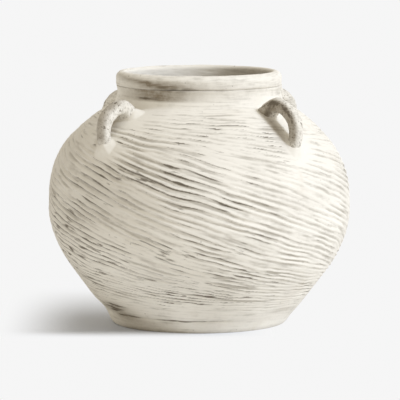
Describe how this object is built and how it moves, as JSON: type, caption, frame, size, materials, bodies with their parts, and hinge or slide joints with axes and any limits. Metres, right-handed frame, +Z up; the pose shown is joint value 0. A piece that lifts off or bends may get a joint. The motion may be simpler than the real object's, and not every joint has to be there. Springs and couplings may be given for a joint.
{
  "type": "jar planter",
  "caption": "Round-bellied stoneware jar planter with a rolled rim, a short neck, loop handles standing on the shoulder, a combed slip finish and a stopped drain hole.",
  "frame": {"origin": "middle of the foot ring, on the surface that the planter stands on", "axes": "+Z up along the axis of the round body; the handles stand over +X, +Y, -X and -Y, named right, back, left and front"},
  "size_m": [0.33, 0.33, 0.2786],
  "materials": {
    "slip_clay": "matt cream slip, combed",
    "bare_clay": "matt bare brown clay",
    "plug_rubber": "matt moulded rubber"
  },
  "bodies": {
    "pot": {"base_slab": "slip_clay", "floor_seam_coil": "bare_clay", "lower_bowl": "slip_clay", "belly_seam_coil": "bare_clay", "upper_bowl": "slip_clay", "neck_collar": "slip_clay", "rim_roll": "slip_clay", "handle_right": "slip_clay", "handle_back": "slip_clay", "handle_left": "slip_clay", "handle_front": "slip_clay", "upper_pad_right": "slip_clay", "upper_pad_back": "slip_clay", "upper_pad_left": "slip_clay", "upper_pad_front": "slip_clay", "lower_pad_right": "slip_clay", "lower_pad_back": "slip_clay", "lower_pad_left": "slip_clay", "lower_pad_front": "slip_clay"},
    "plug": {"drain_plug": "plug_rubber"}
  },
  "joints": [
    {"name": "plug_lift", "type": "slide", "parent": "pot", "child": "plug", "axis": [0, 0, 1], "range_m": [0, 0.3]}
  ]
}
